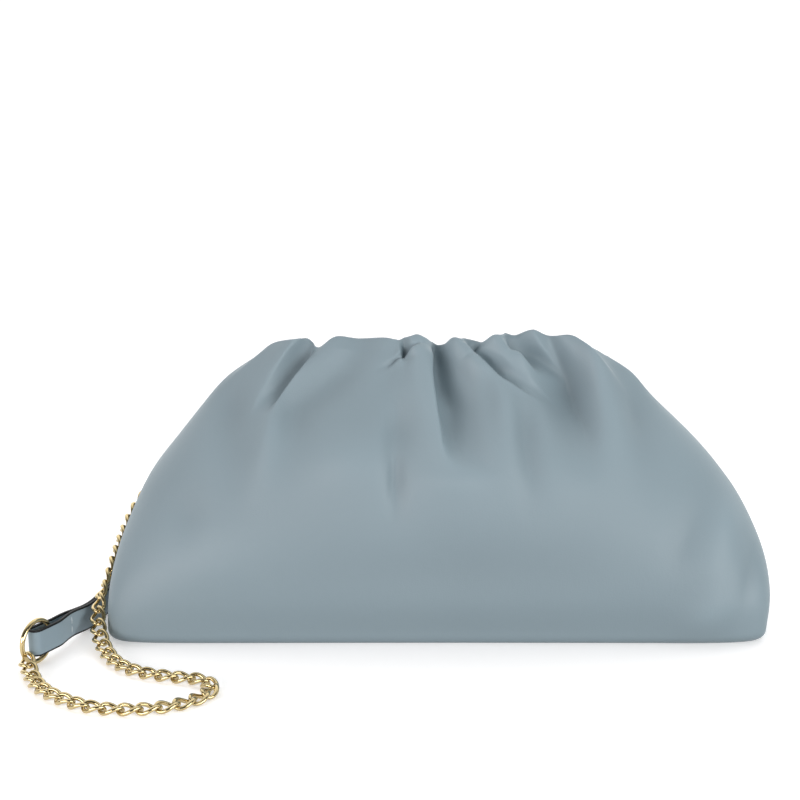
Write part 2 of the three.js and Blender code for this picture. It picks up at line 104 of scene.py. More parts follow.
# Top of each rim, from the left seam to the right one
RimPoint = namedtuple("RimPoint", "x height")
FRONT_RIM = (
    RimPoint(-98, 144), RimPoint(-92, 152), RimPoint(-84, 154), RimPoint(-71, 155),
    RimPoint(-65, 150.5), RimPoint(-55, 156.5), RimPoint(-42, 155), RimPoint(-28, 156),
    RimPoint(-20, 155), RimPoint(-11, 158), RimPoint(-6, 156), RimPoint(0, 150.5),
    RimPoint(4, 151.5), RimPoint(9, 156), RimPoint(17, 154.5), RimPoint(24, 153.5),
    RimPoint(31, 158), RimPoint(37, 157), RimPoint(43, 155.5), RimPoint(52, 159),
    RimPoint(61, 155.5), RimPoint(74, 157), RimPoint(82, 151), RimPoint(92, 144),
)
BACK_RIM = (
    RimPoint(-98, 144), RimPoint(-82, 147), RimPoint(-66, 146.5), RimPoint(-50, 148.5),
    RimPoint(-36, 146.5), RimPoint(-22, 148.5), RimPoint(-7, 146), RimPoint(8, 147),
    RimPoint(24, 145.5), RimPoint(40, 148.5), RimPoint(58, 146), RimPoint(75, 147),
    RimPoint(92, 144),
)
RIM_LEVELS = 2

# Folds, which run down a wall and fade out at their foot. A path's points are x and height from the
# top down, left and right are the widths of the fold's two flanks, and top is the share of its
# height that it has where it starts.
Fold = namedtuple("Fold", "path left right height top")
FRONT_FOLDS = (
    Fold(((-92, 150), (-106, 126), (-114, 104)), 7, 9, -2, 1),
    Fold(((-70, 157), (-82, 145), (-92, 132), (-97, 112)), 8, 3.5, 6, 1),
    Fold(((-55, 157), (-66, 138), (-80, 112)), 8, 12, 3, 1),
    Fold(((-41, 150), (-54, 139), (-67, 128), (-78, 117), (-83, 102)), 9, 12, -8, 0.3),
    Fold(((-27, 157), (-34, 140), (-46, 116)), 10, 7, 3, 1),
    Fold(((-11, 157), (-9, 144), (-9, 130), (-8, 112), (-4, 88)), 9, 5, 5, 1),
    Fold(((8, 157), (13, 148), (24, 139), (44, 120)), 6, 5, 5, 1),
    Fold(((30, 157), (34, 148), (44, 141), (58, 130)), 5, 4, 5, 1),
    Fold(((59, 156), (66, 146), (71.5, 137), (75, 127), (77.5, 113), (78, 82)), 13, 5, -20, 0.4),
    Fold(((77, 156), (81, 147), (85, 133), (87.5, 122), (90, 94)), 4, 9, 6, 1),
    Fold(((93, 148), (98, 130), (103, 104)), 6, 9, -2, 1),
    Fold(((-2, 151), (0.5, 139), (8, 126), (10, 114), (12, 101), (15, 78)), 5, 7, -7, 1),
    Fold(((-110, 142), (-111, 118), (-108, 90), (-105, 62)), 8, 8, -5, 0),
    Fold(((-84, 136), (-87, 112), (-92, 88), (-96, 60)), 5, 6, 4, 0),
    Fold(((-70, 136), (-77, 116), (-79, 98), (-78, 78)), 5, 9, -4, 0),
    Fold(((-20, 134), (-22, 112), (-23, 92), (-22, 46)), 4.5, 8, -5, 0),
    Fold(((-22, 108), (-22.5, 96), (-22.5, 84), (-21, 60)), 2.2, 3.5, -5, 0),
    Fold(((31, 144), (35, 122), (35, 100), (33, 78)), 5, 6, 4.5, 0),
    Fold(((44, 132), (46, 112), (47, 94), (50, 54)), 4.5, 7, -4.5, 0),
    Fold(((45.5, 112), (46.5, 103), (47.5, 93), (49, 74)), 2.2, 3.5, -2.6, 0),
    Fold(((56, 130), (54, 110), (53, 90), (50, 70)), 5, 7, 2.4, 0),
    Fold(((106, 140), (108, 116), (111, 92), (112, 68)), 6, 9, -5, 0),
    Fold(((156, 86), (150, 60), (145, 36), (142, 2)), 8, 8, 4.5, 0),
)
BACK_FOLDS = (
    Fold(((-66, 148), (-86, 112)), 9, 6, -4, 1),
    Fold(((-50, 148), (-62, 116)), 8, 9, 3.5, 1),
    Fold(((-36, 148), (-44, 104)), 6, 8, -3, 1),
    Fold(((-22, 148), (-26, 112)), 8, 7, 4, 1),
    Fold(((-7, 148), (-6, 96)), 7, 7, -3, 1),
    Fold(((8, 148), (14, 108)), 7, 8, 4, 1),
    Fold(((24, 148), (34, 104)), 8, 6, -3, 1),
    Fold(((40, 148), (52, 114)), 9, 8, 3.5, 1),
    Fold(((58, 148), (78, 108)), 7, 9, -4.5, 1),
)
FOLD_SPREAD = 1
FOLD_TOP_REACH = 26

# Lips, where the leather on one side of a path lies over a pocket on its other side. Over is the
# side that lies on top, drop and width are the pocket's, and roll and lap say how far the lip stands
# out and reaches over it. Blunt says how late the pocket fades out towards its foot, foot is the
# width of the slope under the edge there, and floor says how flat the bottom of the pocket is.
Lip = namedtuple("Lip", "path over drop width roll lap blunt foot floor")
FRONT_LIPS = (
    Lip(
        ((-63, 153), (-69, 144), (-75.5, 135), (-82, 126.5), (-88, 117)),
        RIGHT, 5.3, 13, 1.5, 3, 3, 6, 3,
    ),
    Lip(((-22, 156), (-20, 150), (-18, 142)), LEFT, 7, 8, 0.5, 1, 1.6, 6, 1.5),
    Lip(((-7, 153), (-16.5, 147), (-33.5, 136)), RIGHT, 3.5, 9, 1, 2, 0.9, 14, 1.5),
    Lip(
        ((-5, 157), (-5, 149), (-5.5, 139), (-4.5, 126), (-3, 114), (-1, 104), (4, 96), (14, 89)),
        LEFT, 6, 29, 1.5, 4, 4, 22, 1.5,
    ),
    Lip(((11, 155), (17.5, 148.5), (31.5, 138), (46, 130), (60, 124)), LEFT, 4, 15, 1.5, 3, 1.6, 6, 2.5),
    Lip(((26, 154), (23, 151), (17, 145)), RIGHT, 2.5, 8, 0.5, 2, 1.6, 6, 1.5),
    Lip(((34, 154.5), (38, 149), (45, 144), (55, 137)), LEFT, 12, 20, 1, 1.5, 1.6, 6, 2.5),
)
BACK_LIPS = (
    Lip(((-40, 148), (-45, 130), (-47, 108)), LEFT, 4, 12, 1.5, 2, 1.6, 6, 1.5),
    Lip(((-9, 148), (-9, 126), (-7, 100)), RIGHT, 5, 13, 1.5, 2, 1.6, 6, 1.5),
    Lip(((26, 148), (32, 130), (36, 106)), LEFT, 4.5, 12, 1.5, 2, 1.6, 6, 1.5),
)
LIP_EDGE = 1.8
LIP_RIM_EDGE = 6
LIP_RIM_REACH = 9
LIP_RIM_DROP = 0.7
LIP_ROLL_REACH = 6
LIP_LAP_REACH = 5

# Painted shade and light by relief: how much a point lies lower than the leather around it, from the
# mark of level leather to that of a pocket of full depth. The leather's colour is painted darker in
# the folds and paler on the ridges by this mark.
RELIEF_SMOOTHINGS = 200
RELIEF_DEPTH = 10
RELIEF_LEVEL = 0.25

# Soft dents and swellings of the full part of the wall. Slant is their way to the right for each
# millimetre up, and depth is negative in a dent.
Dent = namedtuple("Dent", "x height slant width reach depth")
FRONT_DENTS = (
    Dent(-48, 98, 0.2, 18, 13, 2.2),
    Dent(9, 88, 0, 13, 6, 1.5),
    Dent(12, 90, 0, 80, 24, 4.5),
    Dent(10, 40, 0, 90, 18, -2.5),
    Dent(5, 5, 0, 130, 17, -2.8),
    Dent(140, 16, 0.3, 14, 13, 3),
    Dent(164, 38, 0.2, 5, 14, -1.5),
    Dent(128, 58, 0.3, 8, 14, -1.5),
    Dent(-131, 70, 0, 10, 14, -1.5),
    Dent(-118, 52, 0.2, 34, 18, 1.4),
)
BACK_DENTS = (
    Dent(-50, 92, 0.1, 9, 14, -1),
    Dent(30, 88, -0.1, 10, 15, -1.2),
)

# The two walls
Wall = namedtuple("Wall", "side rim folds lips dents grid")
FRONT_WALL = Wall(FRONT, FRONT_RIM, FRONT_FOLDS, FRONT_LIPS, FRONT_DENTS, FRONT_GRID)
BACK_WALL = Wall(BACK, BACK_RIM, BACK_FOLDS, BACK_LIPS, BACK_DENTS, BACK_GRID)

# Swellings of the seams at the shoulders
Swelling = namedtuple("Swelling", "side height reach out")
SHOULDERS = (Swelling(LEFT, 131, 18, 1.5), Swelling(RIGHT, 137, 10, 4), Swelling(RIGHT, 98, 16, 1.2))
SHOULDER_BREADTH = 4

# Curb chain. A link's length and width are between the middles of its wire, which is worn thinner at
# the ends, where the links hook.
LINK_LENGTH = 11.4
LINK_WIDTH = 7
LINK_TWIST = math.radians(-48)
LINK_PITCH = 8.8
LINK_WIRE = 2.2
HOOKED_WIRE = 1.85
LINK_STEPS = 40
WIRE_SIDES = 14
HOOK_GAP = 1.1
RUN_LINKS = 7
HIDDEN_LINKS = 14
CHAIN_CLEARANCE = 2.7
CHAIN_LIE = 2.6
ROUTE_STEPS = 40
ROUTE_COLUMNS = 50
SURFACE_STEP = 0.05

# Rings between chain and leather strap, and the rings that hold the chain at the mouth. A place has
# the direction away from the strap, and the angle in degrees up from the ring's lowest point at
# which the chain hooks on. A placed ring has its side directions, and the chain's facing at its hook.
Ring = namedtuple("Ring", "radius wire")
STRAP_RING = Ring(10.7, 2.6)
MOUTH_RING = Ring(6, 2)
MOUTH_RING_ALONG = 0.72
MOUTH_RING_LEVEL = 6.9
RING_STEPS = 72
RING_SIDES = 20
RingPlace = namedtuple("RingPlace", "x y away_x away_y hook")
PlacedRing = namedtuple("PlacedRing", "middle out up hook facing")
LEFT_RING = RingPlace(-204.5, -81.5, -0.47, -0.88, 52)
RIGHT_RING = RingPlace(96, 92, 1, 0, 65)

# Routes of the chains: first over the leather, then free, then along the floor. On the leather,
# along goes from -1 at the left seam to 1 at the right one, and level counts the sections up.
OnLeather = namedtuple("OnLeather", "side along level")
Free = namedtuple("Free", "x y z face_x face_y face_z")
LEFT_OVER_LEATHER = (
    OnLeather(BACK, -0.755, 6.2),
    OnLeather(BACK, -0.78, 5.4),
    OnLeather(BACK, -0.805, 4.5),
    OnLeather(BACK, -0.825, 3.6),
    OnLeather(BACK, -0.84, 2.9),
    OnLeather(BACK, -0.885, 2.3),
    OnLeather(BACK, -0.95, 1.88),
    OnLeather(FRONT, -0.98, 1.55),
    OnLeather(FRONT, -0.91, 1.15),
)
LEFT_HANGING = (
    Free(-180.6, -36, 20, -0.7, -0.65, 0.3),
    Free(-180.4, -46.6, 12.8, -0.3, -0.85, 0.45),
    Free(-177.5, -59, 7.5, -0.1, -0.65, 0.8),
    Free(-172.5, -71.5, 4.2, 0, -0.2, 1),
)
LEFT_ON_FLOOR = (
    (-165, -85), (-153, -97.5), (-135, -105), (-118, -109), (-110.5, -119), (-115, -131),
    (-127, -140.5), (-145, -145), (-163, -143), (-180, -133.5), (-193.5, -120.5), (-202, -105),
)
RIGHT_OVER_LEATHER = (
    OnLeather(BACK, 0.76, 6.2),
    OnLeather(BACK, 0.77, 5.4),
    OnLeather(BACK, 0.77, 4.4),
    OnLeather(BACK, 0.76, 3.3),
    OnLeather(BACK, 0.73, 2.2),
    OnLeather(BACK, 0.7, 1.1),
)
RIGHT_HANGING = (
    Free(137, 66, 12.5, 0.3, 0.85, 0.45),
    Free(142, 71, 7, 0.2, 0.65, 0.75),
    Free(149, 77, 3.6, 0.05, 0.25, 1),
)
RIGHT_ON_FLOOR = (
    (159, 85), (170, 96), (173, 111), (164, 128), (146, 138), (120, 142),
    (92, 143), (66, 141), (50, 127), (62, 111), (80, 109), (97, 105),
)

# Leather strap, which stands on its edge. Each end leaves a slot for its ring, closes between two
# distances from the end, and comes down to the floor between two distances from the ring.
STRAP_SLOT = 4.8
STRAP_LOOP_CLOSING = (8, 42)
STRAP_REACH = 4.2
STRAP_STRAIGHT = 15.6
STRAP_STEPS = 220
STRAP_LIFT_REACH = (18, 60)
STRAP_CORNER = 0.45
STRAP_CORNER_STEPS = 4
STRAP_PAINT = 0.6
STRAP_LAYER_GAP = 0.1
STRAP_ROUTE = (
    (-193.5, -54), (-190.2, -40), (-187.3, -26), (-184.5, -12), (-182.5, 4), (-182, 22), (-181, 44),
    (-171, 66), (-140, 81), (-95, 88), (-45, 91), (10, 92.5), (55, 92),
)
STITCH_LENGTH = 3.8
STITCH_WIDTH = 0.9
STITCH_ROWS = 8
STITCH_SIDES = 8
BAR_TACK_AT = 31
BAR_TACK_HEIGHTS = (-2.4, 2.4)

# Patterns of the finishes: the width of one of their marks, the height and strength of its bump,
# and the detail of its noise
Pattern = namedtuple("Pattern", "width height strength detail")
WRINKLES = Pattern(4, 0.8, 0.35, 3)
NAP = Pattern(1.5, 0.4, 0.4, 4)
PAINT_COATS = Pattern(3, 0.4, 0.15, 2)
WEAR = Pattern(5, 0.3, 0.04, 3)
TOOTH = Pattern(2, 0.2, 0.03, 2)
DYE_PATCH = 90
PLY_SPACING = 2.513
PLY_HEIGHT = 0.2

# Tones as shares of a leather's own, sizes as shares of its grain, and the wrinkles' scale upwards
DYE_SHARE = 0.35
# The pale and dark tones are painted light on the ridges and painted shade in the folds, as well as the
# ends of the random dye tone
PALE_DYE_AND_RIDGE_LIGHT_TONE = 1.11
DARK_DYE_AND_FOLD_SHADE_TONE = 0.8
NAP_TONE = 0.82
PORE_WIDTH = 0.5
PEBBLE_RISE = 0.25
PORE_RISE = 0.3
WRINKLE_STRETCH = 0.35

# Lights and floor, in metres: a soft sun behind the bag and two wide, low strips in front of it. The
# room turns from dim to white between two values of the Y of a direction.
REAR_PLACE = (0, 1.2, 1.5)
REAR_ANGLE = math.radians(110)
KEY_PLACE = (-0.85, -1.0, 0.32)
KEY_TONE = "#FFF7F6"
FILL_PLACE = (0.9, -1.0, 0.3)
LIT_POINT = (0, 0, 0.08)
STRIP_WIDTH = 1.4
STRIP_HEIGHT = 0.5
ROOM_TURN = (-0.2, 0.6)
FLOOR_HALF = 8

# Camera, from the photograph's frame, in millimetres and in degrees below level
CAMERA_PLACE = (-19.75, -800, 290)
CAMERA_PITCH = 12.0
SENSOR_WIDTH = 36


def srgb(code):
    """A hex colour as linear red, green and blue."""
    values = [int(code[at:at + 2], 16) / 255 for at in (1, 3, 5)]
    return tuple(v / 12.92 if v <= 0.04045 else ((v + 0.055) / 1.055) ** 2.4 for v in values)


def colour(name, description, code):
    """A colour property."""
    return FloatVectorProperty(
        name=name, description=description, subtype="COLOR", size=3, min=0, max=1, default=srgb(code),
    )


def length(name, description, size):
    """A length property, given in millimetres."""
    return FloatProperty(
        name=name, description=description, unit="LENGTH", min=0, precision=4, default=size * MM,
    )


def amount(name, description, value, **settings):
    """A plain number property."""
    return FloatProperty(name=name, description=description, min=0, default=value, **settings)


class PouchLeather(bpy.types.PropertyGroup):
    """Sizes and colours of the bag's leather."""

    wall: length("Wall", "Thickness of the leather", 2)
    hem: length("Hem", "Thickness where the leather is turned in at the rim", 3)
    grain: length("Grain", "Width of one pebble of the grain", 1.4)
    face: colour("Face", "Dyed and finished outer side", "#809199")
    flesh: colour("Flesh side", "Napped inner side", "#7F8C93")


class PouchStrap(bpy.types.PropertyGroup):
    """Sizes and colours of the leather strap."""

    width: length("Width", "Height of the strap as it stands on its edge", 14)
    layer: length("Layer", "Thickness of each of its two layers", 1.5)
    grain: length("Grain", "Width of one pebble of the grain", 1.2)
    face: colour("Face", "Dyed and finished outer side", "#8496A0")
    edge: colour("Edge", "Painted cut edges", "#0D1012")
    thread: colour("Thread", "Stitching", "#B4C0C5")


class PouchMetal(bpy.types.PropertyGroup):
    """Finish of the chain and rings."""

    plating: colour("Plating", "Pale gold plating", "#C2B084")
    roughness: amount("Roughness", "Polish of the plating", 0.12, subtype="FACTOR", max=1)


class PouchStage(bpy.types.PropertyGroup):
    """Floor, light and camera."""

    floor: colour("Floor", "White light table under the bag", "#F4F4F4")
    glow: amount("Glow", "Strength of the light table's own light", 0.34)
    far: amount("Far", "Strength of the white backdrop behind the bag", 1.1)
    near: amount("Near", "Strength of the dim room in front of the bag", 0.12)
    key: amount("Key", "Power of the soft light from the left", 13.5, unit="POWER")
    fill: amount("Fill", "Power of the soft light from the right", 15, unit="POWER")
    rear: amount("Rear", "Strength of the soft light from behind", 1.3)
    lens: amount("Lens", "Focal length of the camera", 67.303, unit="CAMERA")


def add_node(tree, kind, inputs=None, **settings):
    """Adds a node with its settings, and links or sets its inputs."""
    node = tree.nodes.new(kind)
    for name, value in settings.items():
        setattr(node, name, value)
    for socket, value in (inputs or {}).items():
        if isinstance(value, bpy.types.NodeSocket):
            tree.links.new(value, node.inputs[socket])
        else:
            node.inputs[socket].default_value = value
    return node


def start_material(name):
    """An empty material of that name, its node tree, and the place on the piece that patterns read."""
    material = bpy.data.materials.new(name)
    material.use_nodes = True
    tree = material.node_tree
    tree.nodes.clear()
    return material, tree, add_node(tree, "ShaderNodeTexCoord").outputs["Object"]


def start_mottled_material(name, pattern):
    """A started material, its node tree, and the value and the bump of a pattern of noise all over it."""
    material, tree, place = start_material(name)
    noise = {"Vector": place, "Scale": per_metre(pattern.width), "Detail": pattern.detail}
    value = add_node(tree, "ShaderNodeTexNoise", noise).outputs["Fac"]
    rise = {"Height": value, "Strength": pattern.strength, "Distance": pattern.height * MM}
    return material, tree, value, add_node(tree, "ShaderNodeBump", rise).outputs["Normal"]


def end_material(material, inputs):
    """Gives a material its shader with those inputs, links it to the output and returns the material."""
    tree = material.node_tree
    shader = add_node(tree, "ShaderNodeBsdfPrincipled", inputs)
    add_node(tree, "ShaderNodeOutputMaterial", {"Surface": shader.outputs["BSDF"]})
    return material


def rgba(tone):
    """A colour property's value with full alpha."""
    return (*tone, 1)


def per_metre(width):
    """A pattern's scale, from the width of one of its marks in millimetres."""
    return 1 / (width * MM)


def leather_material(name, tone, grain):
    """Smooth calf leather, drum dyed and sprayed with a thin satin finish.

    The pebbles are nearly pressed flat, so the eye gets an even satin tone with soft, wide highlights
    and a little wrinkling in the folds. The colour carries painted light and shade: it is painted paler
    on the ridges and darker in the folds, mixed with a random patchy dye tone. The grain is drawn about
    twice its real width so that it shows.
    """
    material, tree, place = start_material(name)
    # The fold attribute is the mask of the painted shade: the colour is painted darker in the folds and
    # paler on the ridges
    mark = add_node(tree, "ShaderNodeAttribute", attribute_name="fold").outputs["Fac"]
    dye = add_node(
        tree, "ShaderNodeTexNoise", {"Vector": place, "Scale": per_metre(DYE_PATCH), "Detail": 2},
    )
    depth = add_node(
        tree, "ShaderNodeMath", {0: dye.outputs["Fac"], 1: DYE_SHARE, 2: mark}, operation="MULTIPLY_ADD",
    )
    # Pale end: random dye tone and painted light on the ridges; dark end: random dye tone and painted
    # shade in the folds
    pale_dye_and_ridge_light = tuple(min(1, value * PALE_DYE_AND_RIDGE_LIGHT_TONE) for value in tone)
    dark_dye_and_fold_shade = tuple(value * DARK_DYE_AND_FOLD_SHADE_TONE for value in tone)
    tint = add_node(
        tree, "ShaderNodeMix", {0: depth.outputs["Value"], 6: rgba(pale_dye_and_ridge_light), 7: rgba(dark_dye_and_fold_shade)},
        data_type="RGBA",
    )
    pebble = add_node(
        tree, "ShaderNodeTexVoronoi", {"Vector": place, "Scale": 1 / grain, "Randomness": 1},
        feature="DISTANCE_TO_EDGE",
    )
    pore = add_node(
        tree, "ShaderNodeTexNoise", {"Vector": place, "Scale": 1 / (grain * PORE_WIDTH), "Detail": 3},
    ).outputs["Fac"]
    pebbles = add_node(
        tree, "ShaderNodeBump",
        {"Height": pebble.outputs["Distance"], "Strength": 0.12, "Distance": grain * PEBBLE_RISE},
    )
    pores = add_node(
        tree, "ShaderNodeBump",
        {"Height": pore, "Normal": pebbles.outputs["Normal"], "Strength": 0.1,
         "Distance": grain * PORE_RISE},
    )
    along_folds = add_node(tree, "ShaderNodeMapping", {"Vector": place, "Scale": (1, 1, WRINKLE_STRETCH)})
    wrinkle = add_node(
        tree, "ShaderNodeTexNoise",
        {"Vector": along_folds.outputs["Vector"], "Scale": per_metre(WRINKLES.width),
         "Detail": WRINKLES.detail, "Distortion": 0.6},
    )
    creased = add_node(tree, "ShaderNodeMath", {0: wrinkle.outputs["Fac"], 1: mark}, operation="MULTIPLY")
    wrinkles = add_node(
        tree, "ShaderNodeBump",
        {"Height": creased.outputs["Value"], "Normal": pores.outputs["Normal"],
         "Strength": WRINKLES.strength, "Distance": WRINKLES.height * MM},
    )
    gloss = add_node(
        tree, "ShaderNodeMapRange",
        {"Value": pore, "From Min": 0.3, "From Max": 0.7, "To Min": 0.46, "To Max": 0.58},
    )
    return end_material(material, {
        "Base Color": tint.outputs[2], "Roughness": gloss.outputs["Result"], "IOR": 1.48,
        "Specular IOR Level": 0.35, "Sheen Weight": 0.08, "Sheen Roughness": 0.5,
        "Normal": wrinkles.outputs["Normal"],
    })


def flesh_material(name, tone):
    """The flesh side of the same leather, buffed to a short nap: dull, with a soft mottled tone."""
    material, tree, nap, bump = start_mottled_material(name, NAP)
    darker = tuple(value * NAP_TONE for value in tone)
    tint = add_node(tree, "ShaderNodeMix", {0: nap, 6: rgba(darker), 7: rgba(tone)}, data_type="RGBA")
    return end_material(material, {
        "Base Color": tint.outputs[2], "Roughness": 0.9, "Sheen Weight": 0.25, "Sheen Roughness": 0.6,
        "Normal": bump,
    })


def edge_paint_material(name, tone):
    """Acrylic edge paint, laid on in coats and smoothed: dark, slightly glossy and a little uneven."""
    material, tree, coat, bump = start_mottled_material(name, PAINT_COATS)
    gloss = add_node(tree, "ShaderNodeMapRange", {"Value": coat, "To Min": 0.5, "To Max": 0.65})
    return end_material(material, {
        "Base Color": rgba(tone), "Roughness": gloss.outputs["Result"], "Specular IOR Level": 0.25,
        "Normal": bump,
    })


def thread_material(name, tone):
    """Bonded polyester thread, twisted from plies: a soft shine with fine slanting lines along it.

    The plies are drawn coarser than they are so that they show. Along an axis, a diagonal wave of
    scale 1 repeats every pi / 5.
    """
    material, tree, place = start_material(name)
    ply = add_node(
        tree, "ShaderNodeTexWave",
        {"Vector": place, "Scale": math.pi / 5 * per_metre(PLY_SPACING), "Distortion": 0.5},
        bands_direction="DIAGONAL",
    )
    bump = add_node(
        tree, "ShaderNodeBump",
        {"Height": ply.outputs["Fac"], "Strength": 0.5, "Distance": PLY_HEIGHT * MM},
    )
    return end_material(material, {
        "Base Color": rgba(tone), "Roughness": 0.45, "Sheen Weight": 0.2,
        "Normal": bump.outputs["Normal"],
    })


def plating_material(name, tone, roughness):
    """Wire with polished pale gold plating: sharp bright reflections, slightly smeared by wear."""
    material, tree, wear, bump = start_mottled_material(name, WEAR)
    gloss = add_node(
        tree, "ShaderNodeMapRange",
        {"Value": wear, "From Min": 0.3, "From Max": 0.75, "To Min": roughness * 0.7,
         "To Max": roughness * 1.4},
    )
    return end_material(material, {
        "Base Color": rgba(tone), "Metallic": 1.0, "Roughness": gloss.outputs["Result"], "Normal": bump,
    })


def light_table_material(name, tone, glow):
    """Opal acrylic of a light table, sanded matt and lit from below: even white with pale shadows."""
    material, _, _, bump = start_mottled_material(name, TOOTH)
    return end_material(material, {
        "Base Color": rgba(tone), "Roughness": 0.9, "Specular IOR Level": 0.1,
        "Emission Color": rgba(tone), "Emission Strength": glow, "Normal": bump,
    })


def shared_material(name, make, *values):
    """The material of that name, made the first time it is asked for."""
    return bpy.data.materials.get(name) or make(name, *values)


def gold():
    """The plating that the chain and all the rings share."""
    metal = bpy.context.scene.pouch_metal
    return shared_material("pale_gold_plating", plating_material, tuple(metal.plating), metal.roughness)


def add_sheet(bm, points):
    """Adds a grid of faces bent to rows of points, and returns its vertices in the points' order."""
    rows, columns = points.shape[:2]
    made = bmesh.ops.create_grid(bm, x_segments=columns - 1, y_segments=rows - 1, size=1)["verts"]
    for vert, point in zip(made, points.reshape(-1, 3) * MM):
        vert.co = point
    return made


def add_tube(bm, line, outs, ups, section):
    """Adds a closed tube: a section's points set along a closed line, on its two side directions."""
    ring = section[:, :1, None] * outs[None] + section[:, 1:, None] * ups[None] + line[None]
    ring = np.concatenate([ring, ring[:1]])
    ring = np.concatenate([ring, ring[:, :1]], axis=1)
    return add_sheet(bm, ring)


def finish_piece(name, bm, materials, nodes):
    """Closes a mesh, makes it a piece of the bag and lets it stand for CAD nodes."""
    bmesh.ops.remove_doubles(bm, verts=bm.verts, dist=WELD)
    bmesh.ops.recalc_face_normals(bm, faces=bm.faces)
    for face in bm.faces:
        face.smooth = True
    mesh = bpy.data.meshes.new(name)
    bm.to_mesh(mesh)
    bm.free()
    for material in materials:
        mesh.materials.append(material)
    piece = bpy.data.objects.new(name, mesh)
    bpy.context.scene.collection.objects.link(piece)
    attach(piece, BODY)
    if nodes:
        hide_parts(*nodes)
    return piece


def unit(vectors):
    """Vectors at length one."""
    return vectors / np.linalg.norm(vectors, axis=-1, keepdims=True)


def smoothstep(value, low, high):
    """An eased step from 0 at low to 1 at high."""
    share = np.clip((value - low) / (high - low), 0, 1)
    return share * share * (3 - 2 * share)


def eased(table, at):
    """Rows of a table at fractional places, eased from row to row."""
    rows = np.asarray(table, float)
    padded = np.vstack([2 * rows[0] - rows[1], rows, 2 * rows[-1] - rows[-2]])
    left = np.clip(np.floor(at).astype(int), 0, len(rows) - 2)
    p = (at - left)[:, None]
    a, b, c, d = (padded[left + k] for k in range(4))
    return b + 0.5 * p * (c - a + p * (2 * a - 5 * b + 4 * c - d + p * (3 * (b - c) + d - a)))


def distances(points):
    """How far along a line each of its points is."""
    return np.concatenate([[0], np.cumsum(np.linalg.norm(np.diff(points, axis=0), axis=1))])


def along_line(rows, reached, way):
    """Rows, which belong to distances along a line, at other distances along it."""
    return np.stack([np.interp(way, reached, column) for column in rows.T], axis=-1)


def roll_section(angle):
    """The cross-section in the roll between base and wall, by its angle."""
    foot = SECTIONS[0]
    inset = BASE_ROLL * (1 - math.sin(angle))
    height = BASE_ROLL * (1 - math.cos(angle))
    return foot._replace(
        seam=height, front=height, back=height,
        half_length=foot.half_length - inset, half_depth=foot.half_depth - inset,
    )


def half_outline(section, shares):
    """Half of a rounded outline at shares of its length from the left seam, and its length."""
    angle = np.linspace(math.pi, 0, OUTLINE_STEPS + 1)
    power = 2 / section.squareness
    x = np.sign(np.cos(angle)) * section.half_length * np.abs(np.cos(angle)) ** power
    depth = section.half_depth * np.abs(np.sin(angle)) ** power
    points = np.stack([x, depth], axis=-1)
    reached = distances(points)
    return along_line(points, reached, shares * reached[-1]), reached[-1]


def plain_wall(sections, side, shares):
    """Rows of points on one wall without its folds, and each point's way to the nearer side seam."""
    points, ways = [], []
    for section in sections:
        outline, whole = half_outline(section, shares)
        x, depth = outline.T
        drop = np.abs(x / section.half_length) ** RIM_LEVELNESS
        middle = section.front if side == FRONT else section.back
        height = middle + (section.seam - middle) * drop
        points.append(np.stack([x + section.lean, side * np.maximum(depth, SEAM_GAP), height], axis=-1))
        ways.append(np.minimum(shares, 1 - shares) * whole)
    return np.array(points), np.array(ways)


def outward(points, side):
    """The directions out of a wall at its rows of points, straight to the side at its seams."""
    normals = np.cross(np.gradient(points, axis=1), np.gradient(points, axis=0)) * -side
    normals[:, (0, -1), 1] = 0
    return unit(normals)


def along_path(path, height):
    """A path's x at heights, and how far down the path they are, from 0 at its top to 1 at its foot."""
    x, level = smooth_line(path)[::-1].T
    return np.interp(height, level, x), np.clip((level[-1] - height) / (level[-1] - level[0]), 0, 1)


def fold_offset(folds, dents, x, height):
    """How far the folds and dents push the leather out at points of a wall."""
    offset = np.zeros_like(x)
    for fold in folds:
        middle, down = along_path(fold.path, height)
        width = np.where(x < middle, fold.left, fold.right) * (1 + FOLD_SPREAD * down)
        top = fold.path[0][1]
        share = 1 - (1 - fold.top) * smoothstep(height, top - FOLD_TOP_REACH, top)
        fade = np.cos(down * math.pi / 2) ** 2
        offset += fold.height * share * fade * np.exp(-((x - middle) / width) ** 2)
    for dent in dents:
        rise = height - dent.height
        across = (x - dent.x - dent.slant * rise) / dent.width
        offset += dent.depth * np.exp(-across ** 2 - (rise / dent.reach) ** 2)
    return offset


def lip_offset(lips, x, height):
    """How far the lips push the leather out, and sideways over their pockets, at points of a wall."""
    offset, slide = np.zeros_like(x), np.zeros_like(x)
    at_rim = smoothstep(height, height[-1] - LIP_RIM_REACH, height[-1])
    for lip in lips:
        edge, down = along_path(lip.path, height)
        slope = LIP_EDGE + (LIP_RIM_EDGE - LIP_EDGE) * at_rim + (lip.foot - LIP_EDGE) * down ** 2
        fade = np.cos(down ** lip.blunt * math.pi / 2) ** 2 * (1 - (1 - LIP_RIM_DROP) * at_rim)
        away = (edge - x) * lip.over
        pocket = np.clip(away / lip.width, 0, 1) ** lip.floor
        floor = (1 - pocket) ** 2 * (1 + 2 * pocket)
        under = smoothstep(away, -LIP_EDGE / 2, slope - LIP_EDGE / 2)
        roll = np.exp(-(np.minimum(away, 0) / LIP_ROLL_REACH) ** 2)
        offset += fade * (lip.roll * (1 - under) * roll - lip.drop * under * floor)
        slide -= fade * lip.over * lip.lap * (1 - under) * np.exp(-(away / LIP_LAP_REACH) ** 2)
    return offset, slide


